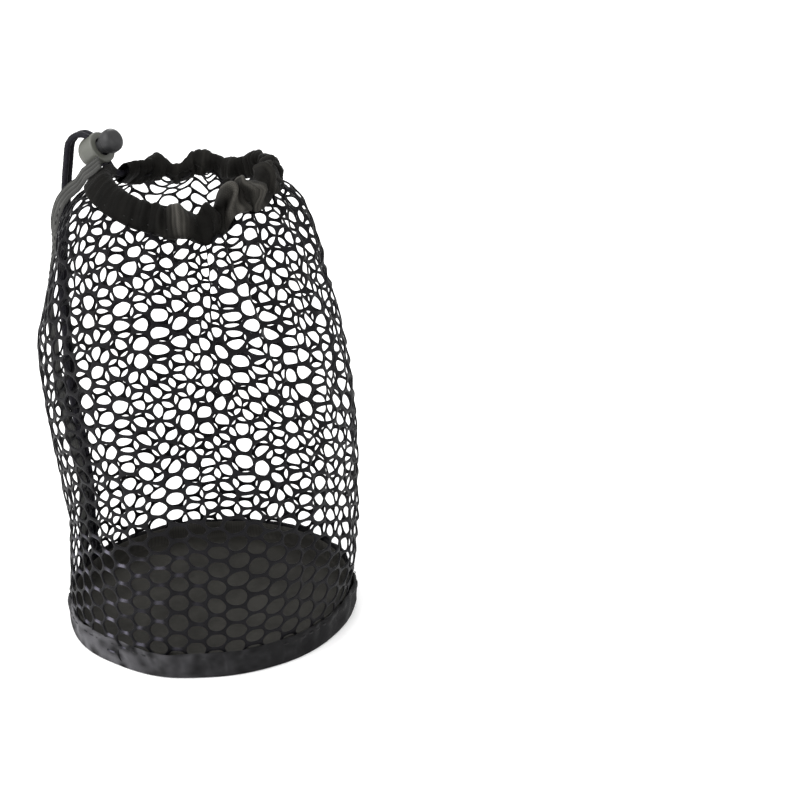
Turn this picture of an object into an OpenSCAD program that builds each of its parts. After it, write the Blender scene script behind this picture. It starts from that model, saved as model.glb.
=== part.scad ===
// Drawstring ball bag: a netting tube on a stiff round base, gathered at the mouth by one cord.
// The cord runs round the mouth in a sewn casing, both ends pass through a spring cord lock,
// hang down behind the side seam and are knotted under a tape loop on the base.
// Millimetres. The origin is the centre of the base on the surface that the bag stands on,
// +Z is up and the front of the bag faces -Y.

/* [Base] */
// Diameter of the base over its binding tape
base_d = 140; // [139:0.5:142]
// Height of the binding band round the base
binding_h = 13; // [12.5:0.25:13.5]
// Thickness of the woven fabrics of the base
fabric_t = 0.8; // [0.6:0.1:0.9]
// Thickness of the stiffening board in the base
board_t = 1.4; // [1:0.1:1.5]

/* [Netting wall] */
// Thickness of the netting
wall_t = 0.8; // [0.6:0.1:0.9]
// Width of the tape over the side seam
tape_w = 8; // [6:0.5:9]
// Thickness of the tape over the side seam
tape_t = 1.1; // [0.8:0.1:1.2]

/* [Mouth] */
// Height of the mouth at its two sides, where it is highest
rim_h = 224; // [223:0.25:225]
// Width of the gathered mouth from side to side, at the middle of the casing
mouth_w = 79; // [78.5:0.1:79.5]
// Depth of the gathered mouth from front to back, at the middle of the casing
mouth_depth = 62; // [61.5:0.1:62.5]
// How far the mouth dips at the front and the back
rim_dip = 4.5; // [4:0.1:5]
// Height of the drawcord casing
casing_h = 13; // [12.5:0.25:13.5]
// Thickness of the gathered drawcord casing
casing_t = 5; // [4.8:0.1:5.4]

/* [Drawcord] */
// Diameter of the drawcord
cord_d = 3; // [2.6:0.1:3]

/* [Cord lock] */
// Diameter of the barrel
barrel_d = 15; // [14.5:0.1:15.5]
// Diameter of the plunger stem
stem_d = 8.6; // [8.4:0.1:8.8]
// Diameter of the push cap
cap_d = 11.2; // [10.5:0.1:12]
// Travel of the plunger
press_travel = 3; // [2.5:0.1:3]
// Rise of the barrel's axis above the horizontal, in degrees
lock_tilt = 32; // [32:1:32]
// Turn of the barrel's axis towards the front, in degrees
lock_turn = 35; // [35:1:35]

/* [Stitching] */
// Diameter of the sewing thread
thread_d = 0.5; // [0.4:0.05:0.6]
// Length of a stitch
stitch_l = 2.8; // [2.4:0.1:3]

/* [Hidden] */
$fn = 96;

base_r = base_d / 2;
// The gathered mouth is centred a little to the right of the base and behind its middle
mouth_at = [2, 5];
mouth_half = [mouth_w / 2, mouth_depth / 2];
// Gap left between fabrics that are sewn together
ply_gap = 0.3;
leg_inner_r = base_r - 1;
wall_foot_r = leg_inner_r - ply_gap - wall_t / 2;
lining_r = wall_foot_r - wall_t / 2 - 0.25;
board_z = fabric_t + 0.2;
lining_z = board_z + board_t + ply_gap;

// The netting's stations, from the base to the shoulder: height, centre's x, radius, and the
// side seam's angle from +X
WALL_ROWS = [
    [2.6, 0, wall_foot_r, 154.5], [14, 0, wall_foot_r, 154.5], [24, 1.5, 69, 154.5],
    [42, 3, 69, 155], [56, 4, 68.8, 155.5], [72, 3.5, 69.8, 155.5], [88, 3, 71, 156],
    [104, 2, 72, 156.5], [120, 1, 72, 157], [136, 0, 70.5, 157], [152, -1.5, 68.5, 157.5],
    [170, -1.5, 64.7, 158], [184, -0.5, 61, 159.5]
];
// Stations over the shoulder: share of the way in to the casing, share of the way up, and the
// side seam's angle
SHOULDER = [[0.1, 0.34, 160], [0.3, 0.62, 161.5], [0.62, 0.84, 165], [1, 1, 171]];
// The seam tape's stand off the netting and its turn to the front, by station: it is drawn
// taut over the shoulder. The two last stations are on the casing.
TAPE_LIFT = [[9, 0], [10, 0.4], [11, 1.1], [12, 2.3], [13, 2.9], [14, 3.1], [15, 2.9], [16, 2.5], [17, 2.3]];
TAPE_TURN = [[9, 0], [10, 6], [11, 16], [12, 34], [13, 46], [14, 50], [15, 46], [16, 38], [17, 34]];
low_row = len(WALL_ROWS) - 1;
last_row = low_row + len(SHOULDER);
// Below this height the netting hangs level all round, and this is the casing's lower edge
level_h = 100;
top_h = rim_h - 12;

// The casing's two ends leave a gap at this angle, where the cord comes out
exit_a = 147.7;
exit_half_a = 10;
casing_inner = [casing_t - 1.5, casing_h - 2];

// Where the two strands cross the middle of the cord lock, and half the distance between them
lock_at = [-36.9, 25, 227.5];
strand_half = 1.6;
slot_play = 0.15;
open_r = cord_d / 2 + slot_play;
barrel_back = 8.5;
barrel_front = 3.2;
bore_r = stem_d / 2 + 0.08;
bore_floor = -7.6;
stem_tip = -3.3;
cap_face = barrel_front + press_travel + 1;

// Middle of the two strands, over the top of the cord lock and down to the base loop
HANG = [
    [-38.9, 26.4, 231.4], [-40.5, 27.4, 233.2], [-42.9, 28.7, 234.1], [-45.7, 29.9, 233.6],
    [-48.2, 30.8, 231.8], [-49.8, 31.5, 229.2], [-50.6, 31.9, 225.8], [-51.4, 31.9, 221],
    [-52.6, 31.7, 214], [-54, 32.8, 204], [-56.1, 34.7, 190], [-58.7, 37.9, 172],
    [-60.2, 39.6, 152], [-60.4, 40.7, 136], [-61, 41, 120], [-60.5, 40.1, 104],
    [-59.2, 38.8, 88], [-57.8, 37.9, 72], [-56.8, 37.6, 56], [-57.2, 38.9, 42],
    [-57.9, 41, 28], [-57, 44.5, 15], [-57, 44.5, 6.5]
];
// The two strands from the ends of the casing to the underside of the cord lock
FRONT_LEAD = [[-33.9, 18.4, 217.5], [-33.6, 19.9, 218.4]];
BACK_LEAD = [[-28.8, 24.6, 215.8], [-30.5, 23.7, 217.4]];

loop_a = 142;
KNOT_AT = [-58.2, 45.5, 4.2];
knot_d = 7.4;
END_LOOP = [
    [-55.2, 47.15, 3.4], [-53.1, 49.5, 2.4], [-50.7, 52.5, 1.8], [-47.9, 56.1, 1.6],
    [-46, 59.9, 1.6], [-46.4, 63.3, 1.6], [-49.6, 64, 1.6], [-53.3, 61.3, 1.6],
    [-55.9, 56.9, 1.8], [-57.6, 52.3, 2.4], [-58.5, 48.8, 3.4]
];
TAIL_LONG = [[-56.4, 46.7, 6.3], [-54.7, 50.1, 5.6], [-52.6, 53.5, 5], [-50.3, 58.9, 2.2]];
TAIL_SHORT = [[-60.5, 45.6, 6], [-61.8, 49.2, 4.6], [-62.4, 53.3, 2.6], [-62.3, 57.1, 1.6]];

function unit(v) = v / norm(v);
// Height of the mouth's top edge at an angle from +X
function rim_z(a) = rim_h - rim_dip + rim_dip * cos(2 * a) + 2 * sin(a);
// How far the casing leans in at an angle, in degrees from upright
function lean(a) = 38 + 14 * cos(a - 175);
// The mouth's outward direction
function mouth_way(a) = unit([cos(a) / mouth_half[0], sin(a) / mouth_half[1], 0]);
// A point of the casing at an angle: out from its middle and up from its middle
function casing_pt(a, out, up) =
    let (t = lean(a), way = mouth_way(a),
        z = rim_z(a) - casing_h / 2 * cos(t) - casing_t / 2 * sin(t))
    [mouth_at[0] + mouth_half[0] * cos(a), mouth_at[1] + mouth_half[1] * sin(a), z]
    + (out * cos(t) - up * sin(t)) * way + [0, 0, out * sin(t) + up * cos(t)];
function foot(a) = casing_pt(a, 0, -casing_h / 2 - 0.9);
function level_pt(row, a) = [row[1] + row[2] * cos(a), row[2] * sin(a),
    row[0] + (foot(a)[2] - top_h) * pow(max(0, (row[0] - level_h) / (top_h - level_h)), 2)];
// The middle of the netting at a station and an angle
function wall_mid(i, a) =
    i <= low_row ? level_pt(WALL_ROWS[i], a)
    : let (low = level_pt(WALL_ROWS[low_row], a), d = foot(a) - low, s = SHOULDER[i - low_row - 1])
    low + [s[0] * d[0], s[0] * d[1], s[1] * d[2]];
function seam_a(i) = i <= low_row ? WALL_ROWS[i][3] : SHOULDER[i - low_row - 1][2];
// A point at a station and an angle, off mm outside the middle of the netting
function wall_pt(i, a, off) =
    let (round = wall_mid(i, a + 1) - wall_mid(i, a - 1),
        rise = wall_mid(min(last_row, i + 1), a) - wall_mid(max(0, i - 1), a))
    wall_mid(i, a) + off * unit(cross(round, rise));

// A point of the seam tape at a station: across it, and out from its inner face
function tape_pt(i, x, off) =
    let (a = seam_a(min(i, last_row)), t = lookup(i, TAPE_TURN), on_wall = i < last_row,
        up = i == last_row ? -4 : 5.5,
        p = on_wall ? wall_pt(i, a, wall_t / 2 + 0.4) : casing_pt(a, casing_t / 2 + 0.5, up),
        way = on_wall ? wall_pt(i, a, 1) - wall_pt(i, a, 0) : casing_pt(a, 1, 0) - casing_pt(a, 0, 0),
        round = on_wall ? wall_mid(i, a + 1) - wall_mid(i, a - 1)
            : casing_pt(a + 1, 0, 0) - casing_pt(a - 1, 0, 0))
    p + (lookup(i, TAPE_LIFT) + off * cos(t) - x * sin(t)) * unit(way)
    + (x * cos(t) + off * sin(t)) * unit(round);

// Directions across and along a path, carried from point to point without twist
function ways(p) =
    [for (i = [0 : len(p) - 1]) unit(p[min(i + 1, len(p) - 1)] - p[max(i - 1, 0)])];
function across(t, n) = unit(n - (n * t) * t);
function sides(t, start) =
    [for (i = 0, n = across(t[0], start); i < len(t);
        i = i + 1, n = i < len(t) ? across(t[i], n) : n) n];
function tube_rings(p, d, count, start) =
    let (t = ways(p), n = sides(t, start))
    [for (i = [0 : len(p) - 1]) let (m = cross(t[i], n[i]))
        [for (k = [0 : count - 1])
            p[i] + d / 2 * (cos(360 * k / count) * n[i] + sin(360 * k / count) * m)]];

// A closed solid through rings of points: capped at both ends, or joined into a loop
module loft(rings, joined = false) {
    m = len(rings[0]);
    n = len(rings);
    last = joined ? n - 1 : n - 2;
    walls = [for (i = [0 : last], k = [0 : m - 1])
        let (here = i * m, there = (i + 1) % n * m, next = (k + 1) % m)
        each [[here + k, here + next, there + next], [here + k, there + next, there + k]]];
    caps = joined ? [] : [[for (k = [m - 1 : -1 : 0]) k], [for (k = [0 : m - 1]) (n - 1) * m + k]];
    polyhedron([for (r = rings) each r], concat(walls, caps), convexity = 10);
}

module cord(p, start = [0, 0, 1]) {
    loft([for (r = tube_rings(p, cord_d, 8, start)) [for (k = [7 : -1 : 0]) r[k]]]);
}

module in_lock() {
    translate(lock_at) rotate([0, -lock_tilt, -lock_turn]) children();
}

// A point of the lock's own frame: along the barrel, across the strands, along the strands
function lock_pt(v) =
    let (x = v[0] * cos(lock_tilt) - v[2] * sin(lock_tilt))
    lock_at + [
        x * cos(lock_turn) + v[1] * sin(lock_turn),
        v[1] * cos(lock_turn) - x * sin(lock_turn),
        v[0] * sin(lock_tilt) + v[2] * cos(lock_tilt)
    ];

function strand(lead, side) =
    let (end = exit_a - side * exit_half_a)
    concat([casing_pt(end - side * 3.1, 0, 0), casing_pt(end, 0, 0)], lead,
        [lock_pt([0, side * strand_half, -8.6])],
        [for (v = HANG) v + side * strand_half * [sin(lock_turn), cos(lock_turn), 0]]);

// Points of a quarter of a round edge of radius r, turned about [x, z], from one angle to another
function edge(x, z, r, from, to) =
    [for (k = [0 : 6]) let (a = from + (to - from) * k / 6) [x + r * cos(a), z + r * sin(a)]];

module stitch(p, way) {
    yaw = atan2(way[1], way[0]);
    pitch = acos(way[2] / norm(way));
    translate(p) rotate([0, pitch, yaw]) cylinder(d = thread_d, h = stitch_l, center = true, $fn = 24);
}

module base_panel() {
    color("#2c2c2e")
    rotate_extrude()
    polygon([[0, 0], [base_r - 8.6, 0], [base_r - 7.8, 1.3], [base_r - 1.6, 1.3],
        [base_r - 1.6, 1.3 + fabric_t], [base_r - 8.2, 1.3 + fabric_t],
        [base_r - 9, fabric_t], [0, fabric_t]]);
}

module base_stiffener() {
    color("#1b1b1b")
    translate([0, 0, board_z]) cylinder(r = base_r - 9.4, h = board_t);
}

module base_lining() {
    color("#3a3a38")
    rotate_extrude()
    polygon([[0, lining_z], [lining_r, lining_z], [lining_r, binding_h - 1],
        [lining_r - 0.7, binding_h - 1], [lining_r - 0.7, lining_z + 0.7], [0, lining_z + 0.7]]);
}

module base_binding() {
    color("#333336")
    rotate_extrude()
    polygon([[base_r - 7.5, 0], [base_r - 0.6, 0], [base_r, 0.8], [base_r, binding_h],
        [leg_inner_r, binding_h], [leg_inner_r, 1], [base_r - 7.5, 1]]);
}

module base_hem_stitches() {
    count = 90;
    step = 360 / count;
    color("#161616")
    for (i = [0 : count - 1])
        if (abs(i * step - loop_a) > 7)
            rotate(i * step)
            translate([base_r + thread_d / 2 + 0.05, 0, binding_h - 2.4])
            rotate([90, 0, 0]) cylinder(d = thread_d, h = stitch_l, center = true, $fn = 24);
}

module base_cord_loop() {
    low = 8.4;
    color("#242427")
    rotate(loop_a) translate([0, 0, low]) linear_extrude(binding_h - low)
    difference() {
        union() {
            translate([base_r + 0.1, -4.5]) square([4.9, 9]);
            translate([base_r + 0.1, -7.5]) square([0.8, 15]);
        }
        translate([base_r, -3.7]) square([4.2, 7.4]);
    }
}

module mesh_wall() {
    color("#1d1d20")
    loft([for (a = [0 : 6 : 354]) concat(
        [for (i = [0 : last_row]) wall_pt(i, a, wall_t / 2)],
        [for (i = [last_row : -1 : 0]) wall_pt(i, a, -wall_t / 2)])], joined = true);
}

module side_seam_tape() {
    across = [for (k = [-2 : 2]) k * tape_w / 4];
    color("#5a5a5c")
    loft([for (i = [1 : last_row + 1]) concat(
        [for (x = across) tape_pt(i, x, 0)],
        [for (x = across) tape_pt(i, -x, tape_t)])]);
}

module seam_stitches() {
    off = tape_t + thread_d / 2 + 0.12;
    color("#161616")
    for (i = [1 : last_row - 2], side = [-1, 1]) {
        from = tape_pt(i, side * 2.5, off);
        to = tape_pt(i + 1, side * 2.5, off);
        count = max(1, floor(norm(to - from) / 4.2));
        for (k = [0 : count - 1]) stitch(from + (k + 0.5) / count * (to - from), to - from);
    }
}

module casing_run(size, over) {
    from = exit_a + exit_half_a - over;
    to = exit_a - exit_half_a + 360 + over;
    count = 58;
    w = size[0] / 2;
    h = size[1] / 2;
    cut = w * 0.4;
    outline = [[-w + cut, -h], [w - cut, -h], [w, -h + cut], [w, h - cut],
        [w - cut, h], [-w + cut, h], [-w, h - cut], [-w, -h + cut]];
    loft([for (i = [0 : count]) let (a = from + (to - from) * i / count)
        [for (q = outline) casing_pt(a, q[0], q[1])]]);
}

module rim_casing() {
    color("#202024")
    difference() {
        casing_run([casing_t, casing_h], 0);
        casing_run(casing_inner, 1);
    }
}

module casing_stitches() {
    count = 54;
    out = casing_t / 2 + thread_d / 2 + 0.08;
    up = 2 - casing_h / 2;
    from = exit_a + exit_half_a + 16;
    step = (360 - 2 * exit_half_a - 21) / count;
    color("#161616")
    for (i = [0 : count - 1]) {
        a = from + i * step;
        here = casing_pt(a - 1.5, out, up);
        there = casing_pt(a + 1.5, out, up);
        stitch((here + there) / 2, there - here);
    }
}

module exit_bartacks() {
    out = casing_t / 2 + thread_d / 2 + 0.12;
    a = exit_a - exit_half_a - 3;
    color("#161616")
    for (k = [0 : 5])
        stitch(casing_pt(a, out, k - 2.5), casing_pt(a + 1, out, 0) - casing_pt(a - 1, out, 0));
}

module drawcord_in_casing() {
    from = exit_a + exit_half_a + 3.1;
    to = exit_a - exit_half_a + 360 - 3.1;
    count = 37;
    color("#1a1a1c")
    cord([for (i = [0 : count]) casing_pt(from + (to - from) * i / count, 0, 0)]);
}

module drawcord_strand_front() {
    color("#1a1a1c") cord(strand(FRONT_LEAD, -1));
}

module drawcord_strand_back() {
    color("#1a1a1c") cord(strand(BACK_LEAD, 1));
}

module drawcord_end_knot() {
    color("#1a1a1c") translate(KNOT_AT) sphere(d = knot_d);
}

module drawcord_end_loop() {
    color("#1a1a1c") cord(END_LOOP);
}

module drawcord_tails() {
    color("#1a1a1c") {
        cord(TAIL_LONG);
        cord(TAIL_SHORT);
    }
}

// The cross slot that the strands run through, from one place along the barrel to another
module strand_slot(from, to) {
    half = strand_half + cord_d / 2 + slot_play;
    translate([from, -half, -barrel_d]) cube([to - from, 2 * half, 2 * barrel_d]);
}

module cord_lock_barrel() {
    r = barrel_d / 2;
    round_r = 5;
    color("#3c3c3e")
    in_lock()
    difference() {
        rotate([0, 90, 0]) rotate_extrude()
            polygon(concat([[0, -barrel_back]],
                edge(r - round_r, round_r - barrel_back, round_r, -90, 0),
                edge(r - 0.8, barrel_front - 0.8, 0.8, 0, 90),
                [[bore_r, barrel_front], [bore_r, bore_floor], [0, bore_floor]]));
        strand_slot(-open_r - 1.5, open_r);
    }
}

module cord_lock_plunger() {
    cap_h = 5.6;
    r = cap_d / 2;
    color("#2f2f33")
    in_lock()
    difference() {
        rotate([0, 90, 0]) rotate_extrude()
            polygon(concat([[0, stem_tip], [stem_d / 2, stem_tip], [stem_d / 2, cap_face]],
                edge(r - 0.5, cap_face + 0.5, 0.5, -90, 0),
                edge(r - 3, cap_face + cap_h - 3, 3, 0, 90),
                [[0, cap_face + cap_h]]));
        strand_slot(-open_r, open_r + press_travel);
    }
}

module cord_lock_spring() {
    wire = 0.6;
    coil_r = 3.4;
    turns = 2.5;
    steps = 16;
    low = bore_floor + wire / 2 + 0.05;
    high = stem_tip - wire / 2 - 0.05;
    path = [for (i = [0 : turns * steps]) let (u = i / (turns * steps), a = 360 * turns * u)
        [low + (high - low) * u, coil_r * cos(a), coil_r * sin(a)]];
    color("#a8a9ad")
    in_lock()
    loft([for (r = tube_rings(path, wire, 6, [1, 0, 0])) [for (k = [5 : -1 : 0]) r[k]]]);
}

base_panel();
base_stiffener();
base_lining();
base_binding();
base_hem_stitches();
base_cord_loop();
mesh_wall();
side_seam_tape();
seam_stitches();
rim_casing();
casing_stitches();
exit_bartacks();
drawcord_in_casing();
drawcord_strand_front();
drawcord_strand_back();
drawcord_end_knot();
drawcord_end_loop();
drawcord_tails();
cord_lock_barrel();
cord_lock_plunger();
cord_lock_spring();
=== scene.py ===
import math

import bmesh
import bpy
import numpy as np
from mathutils import Matrix, Vector, noise


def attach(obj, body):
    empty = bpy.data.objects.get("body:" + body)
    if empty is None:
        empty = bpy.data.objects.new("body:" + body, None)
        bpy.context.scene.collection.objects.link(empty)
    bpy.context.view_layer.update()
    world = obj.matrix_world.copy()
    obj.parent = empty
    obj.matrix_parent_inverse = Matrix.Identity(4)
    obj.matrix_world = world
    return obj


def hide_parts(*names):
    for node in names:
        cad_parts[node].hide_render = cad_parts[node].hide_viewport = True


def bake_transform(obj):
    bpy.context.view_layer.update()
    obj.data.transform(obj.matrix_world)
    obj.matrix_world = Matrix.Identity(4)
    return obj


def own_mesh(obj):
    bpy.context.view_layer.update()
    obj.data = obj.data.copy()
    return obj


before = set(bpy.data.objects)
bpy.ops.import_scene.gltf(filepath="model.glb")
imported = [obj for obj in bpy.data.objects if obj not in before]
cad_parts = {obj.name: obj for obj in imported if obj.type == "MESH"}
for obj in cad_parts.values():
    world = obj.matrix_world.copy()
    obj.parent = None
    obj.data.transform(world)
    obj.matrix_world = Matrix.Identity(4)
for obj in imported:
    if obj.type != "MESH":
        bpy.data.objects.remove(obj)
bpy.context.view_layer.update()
MM = 0.001
TAU = 2 * math.pi

# ---------------------------------------------------------------- the bag's dimensions, as in part.scad
BASE_R, WALL_T = 70.0, 0.8
RIM_H, RIM_DIP = 224.0, 4.5
MOUTH_AT, MOUTH_HALF = np.array([2.0, 5.0]), np.array([39.5, 31.0])
CASING_T, CASING_H, EXIT_A, EXIT_HALF = 5.0, 13.0, 147.7, 10.0
FOOT_R, CORD_D, LOOP_A = 68.3, 3.0, 142.0
# rows up the wall: height, centre along X, radius, and the side seam's angle
ROWS = np.array([
    [2.6, 0, FOOT_R, 154.5], [14, 0, FOOT_R, 154.5], [24, 1.5, 69, 154.5], [42, 3, 69, 155],
    [56, 4, 68.8, 155.5], [72, 3.5, 69.8, 155.5], [88, 3, 71, 156], [104, 2, 72, 156.5],
    [120, 1, 72, 157], [136, 0, 70.5, 157], [152, -1.5, 68.5, 157.5], [170, -1.5, 64.7, 158],
    [184, -0.5, 61, 159.5]])
# rows from the last of those to the casing: share of the way inward, share of the way up, the seam's angle
SHOULDER = np.array([[0.1, 0.34, 160], [0.3, 0.62, 161.5], [0.62, 0.84, 165], [1, 1, 171]])
# the seam tape over the rows: how far it stands off the wall and how far it is turned edge on
TAPE_AT = [9, 10, 11, 12, 13, 14, 15, 16, 17]
TAPE_LIFT = [0, 0.4, 1.1, 2.3, 2.9, 3.1, 2.9, 2.5, 2.3]
TAPE_TURN = [0, 6, 16, 34, 46, 50, 46, 38, 34]
TOP_H, LEVEL_H = RIM_H - 12, 100.0
# the cord lock: its middle, its long axis L, the direction H of its cord bore, and Y from cord to cord
LOCK_AT = np.array([-36.9, 25.0, 227.5])
TILT, TURN = math.radians(32), math.radians(35)
LOCK_L = np.array([math.cos(TILT) * math.cos(TURN), -math.cos(TILT) * math.sin(TURN), math.sin(TILT)])
LOCK_H = np.array([-math.sin(TILT) * math.cos(TURN), math.sin(TILT) * math.sin(TURN), math.cos(TILT)])
LOCK_Y = np.array([math.sin(TURN), math.cos(TURN), 0.0])
CORD_APART, BORE_IN, BORE_OUT = 1.6, 8.6, 8.4
# the cords above and behind the lock, and down to the knot
HANG = np.array([
    [-38.9, 26.4, 231.4], [-40.5, 27.4, 233.2], [-42.9, 28.7, 234.1], [-45.7, 29.9, 233.6],
    [-48.2, 30.8, 231.8], [-49.8, 31.5, 229.2], [-50.6, 31.9, 225.8], [-51.4, 31.9, 221],
    [-52.6, 31.7, 214], [-54, 32.8, 204], [-56.1, 34.7, 190], [-58.7, 37.9, 172],
    [-60.2, 39.6, 152], [-60.4, 40.7, 136], [-61, 41, 120], [-60.5, 40.1, 104],
    [-59.2, 38.8, 88], [-57.8, 37.9, 72], [-56.8, 37.6, 56], [-57.2, 38.9, 42],
    [-57.9, 41, 28], [-57, 44.5, 15], [-57, 44.5, 6.5]])
FRONT_LEAD = np.array([[-33.9, 18.4, 217.5], [-33.6, 19.9, 218.4]])
BACK_LEAD = np.array([[-28.8, 24.6, 215.8], [-30.5, 23.7, 217.4]])
KNOT_AT, KNOT_CORD_D = np.array([-58.2, 45.5, 4.2]), 2.5
END_LOOP = np.array([
    [-55.2, 47.15, 3.4], [-53.1, 49.5, 2.4], [-50.7, 52.5, 1.8], [-47.9, 56.1, 1.6], [-46, 59.9, 1.6],
    [-46.4, 63.3, 1.6], [-49.6, 64, 1.6], [-53.3, 61.3, 1.6], [-55.9, 56.9, 1.8], [-57.6, 52.3, 2.4],
    [-58.5, 48.8, 3.4]])
TAIL_LONG = np.array([[-56.4, 46.7, 6.3], [-54.7, 50.1, 5.6], [-52.6, 53.5, 5], [-50.3, 58.9, 2.2]])
TAIL_SHORT = np.array([[-60.5, 45.6, 6], [-61.8, 49.2, 4.6], [-62.4, 53.3, 2.6], [-62.3, 57.1, 1.6]])

# ---------------------------------------------------------------- camera
PITCH, YAW, ROLL = math.radians(23.35), math.radians(6.17), math.radians(-1.835)
CAMERA_AT, LENS, SENSOR = (0, -0.8844, 0.4862), 91.26, 36
look = Vector((math.sin(YAW) * math.cos(PITCH), math.cos(YAW) * math.cos(PITCH), -math.sin(PITCH)))
level = Vector((math.cos(YAW), -math.sin(YAW), 0))
rise = level.cross(look)
right = math.cos(ROLL) * level + math.sin(ROLL) * rise
up = math.cos(ROLL) * rise - math.sin(ROLL) * level
camera = bpy.data.objects.new("camera", bpy.data.cameras.new("camera"))
bpy.context.scene.collection.objects.link(camera)
camera.data.sensor_width, camera.data.lens = SENSOR, LENS
camera.data.clip_start, camera.data.clip_end = 0.01, 20
turn = Matrix((right, up, -look)).transposed().to_4x4()
camera.matrix_world = Matrix.Translation(CAMERA_AT) @ turn
bpy.context.scene.camera = camera


# ---------------------------------------------------------------- materials
def material(name, color, rough, vary=0.3, blotch=60, fine=1500, grain=0.5, weave=None, depth=0.0002,
             spec=0.5, sheen=0.0, metal=0.0, rough_vary=0.12):
    """A fabric, plastic or metal: mottled colour, fine bump from noise, and an optional weave of two pitches.
    The weave lies along the first two values of the wv attribute, and the third value lightens or darkens it:
    it carries painted light and shade."""
    m = bpy.data.materials.new(name)
    m.use_nodes = True
    nodes, links = m.node_tree.nodes, m.node_tree.links
    nodes.clear()
    out = nodes.new("ShaderNodeOutputMaterial")
    bsdf = nodes.new("ShaderNodeBsdfPrincipled")
    links.new(bsdf.outputs[0], out.inputs[0])
    bsdf.inputs["Metallic"].default_value = metal
    bsdf.inputs["Specular IOR Level"].default_value = spec
    bsdf.inputs["Sheen Weight"].default_value = sheen
    bsdf.inputs["Sheen Roughness"].default_value = 0.4
    where = nodes.new("ShaderNodeTexCoord").outputs["Object"]

    def noise_at(scale, detail):
        n = nodes.new("ShaderNodeTexNoise")
        n.inputs["Scale"].default_value = scale
        n.inputs["Detail"].default_value = detail
        links.new(where, n.inputs["Vector"])
        return n.outputs["Fac"]

    def math_node(kind, a, b):
        n = nodes.new("ShaderNodeMath")
        n.operation = kind
        for k, v in enumerate((a, b)):
            if hasattr(v, "is_output"):
                links.new(v, n.inputs[k])
            else:
                n.inputs[k].default_value = v
        return n.outputs[0]

    def ramp(fac, low, high, c0, c1):
        r = nodes.new("ShaderNodeValToRGB")
        r.color_ramp.elements[0].position, r.color_ramp.elements[1].position = low, high
        r.color_ramp.elements[0].color, r.color_ramp.elements[1].color = (*c0, 1), (*c1, 1)
        links.new(fac, r.inputs[0])
        return r.outputs[0]

    dark = [c * (1 - vary) for c in color]
    light = [min(1.0, c * (1 + vary)) for c in color]
    base = ramp(noise_at(blotch, 4), 0.3, 0.7, dark, light)
    height = math_node("MULTIPLY", noise_at(fine, 2), grain)
    if weave:
        at = nodes.new("ShaderNodeAttribute")
        at.attribute_name = "wv"
        split = nodes.new("ShaderNodeSeparateXYZ")
        links.new(at.outputs["Vector"], split.inputs[0])
        u = math_node("MULTIPLY", split.outputs[0], TAU / weave[0])
        v = math_node("MULTIPLY", split.outputs[1], TAU / weave[1])
        su, sv = math_node("SINE", u, 0), math_node("SINE", v, 0)
        cross_over = math_node("MULTIPLY", su, sv)
        threads = math_node("ADD", math_node("ABSOLUTE", su, 0), math_node("MULTIPLY", cross_over, 0.6))
        height = math_node("ADD", height, math_node("MULTIPLY", threads, 0.6))
        shade = math_node("ADD", math_node("MULTIPLY", threads, 0.35), 0.72)
        # the wv attribute's third value is painted light and shade, multiplied into the colour
        painted_light_factor = math_node("ADD", math_node("MULTIPLY", split.outputs[2], 1 / MM), 1.0)
        shade = math_node("MULTIPLY", shade, painted_light_factor)
        # the colour sockets of a mix node are its inputs 6 and 7 and its output 2
        mix = nodes.new("ShaderNodeMix")
        mix.data_type = "RGBA"
        mix.blend_type = "MULTIPLY"
        mix.inputs[0].default_value = 1.0
        links.new(base, mix.inputs[6])
        links.new(shade, mix.inputs[7])
        base = mix.outputs[2]
    links.new(base, bsdf.inputs["Base Color"])
    worn = math_node("MULTIPLY", noise_at(300, 3), 2 * rough_vary)
    links.new(math_node("ADD", worn, rough - rough_vary), bsdf.inputs["Roughness"])
    bump = nodes.new("ShaderNodeBump")
    bump.inputs["Strength"].default_value = 0.5
    bump.inputs["Distance"].default_value = depth
    links.new(height, bump.inputs["Height"])
    links.new(bump.outputs[0], bsdf.inputs["Normal"])
    return m


MAT = {
    "netting": material("netting_yarn", (0.0042, 0.0040, 0.0051), 0.5, weave=(0.0012, 0.0012), fine=2600,
                        grain=0.9, depth=0.00018, spec=0.09, vary=0.35),
    "casing": material("casing_cloth", (0.0056, 0.0053, 0.0047), 0.7, weave=(0.0009, 0.0009), depth=0.00016,
                       spec=0.05, sheen=0.02),
    "binding": material("binding_tape", (0.0125, 0.0122, 0.0132), 0.7, weave=(0.0007, 0.0011), depth=0.00018,
                        spec=0.1, sheen=0.04),
    "tape": material("seam_tape", (0.040, 0.040, 0.037), 0.6, weave=(0.0007, 0.0012), depth=0.0002, spec=0.3,
                     sheen=0.06),
    "lining": material("lining_cloth", (0.028, 0.027, 0.0242), 0.75, weave=(0.001, 0.001), depth=0.0002,
                       spec=0.08),
    "panel": material("panel_cloth", (0.012, 0.012, 0.013), 0.7, weave=(0.0012, 0.0012), depth=0.00025,
                      spec=0.15),
    "board": material("board", (0.01, 0.01, 0.01), 0.6, fine=700, grain=0.4, spec=0.2),
    "cord": material("cord_yarn", (0.0085, 0.008, 0.0115), 0.6, fine=3200, grain=1.0, depth=0.00014,
                     spec=0.12, sheen=0.03, vary=0.4, blotch=900),
    "thread": material("thread", (0.008, 0.008, 0.009), 0.45, fine=5000, grain=0.8, depth=0.00005, spec=0.25),
    "barrel": material("lock_barrel", (0.080, 0.082, 0.070), 0.36, fine=900, grain=0.35, depth=0.00004,
                       vary=0.12, rough_vary=0.06, spec=0.45),
    "plunger": material("lock_plunger", (0.019, 0.019, 0.020), 0.42, fine=1100, grain=0.4, depth=0.00005,
                        vary=0.12, rough_vary=0.06, spec=0.3),
    "steel": material("spring_wire", (0.5, 0.5, 0.52), 0.3, fine=900, grain=0.2, metal=1.0, vary=0.1),
}


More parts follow.
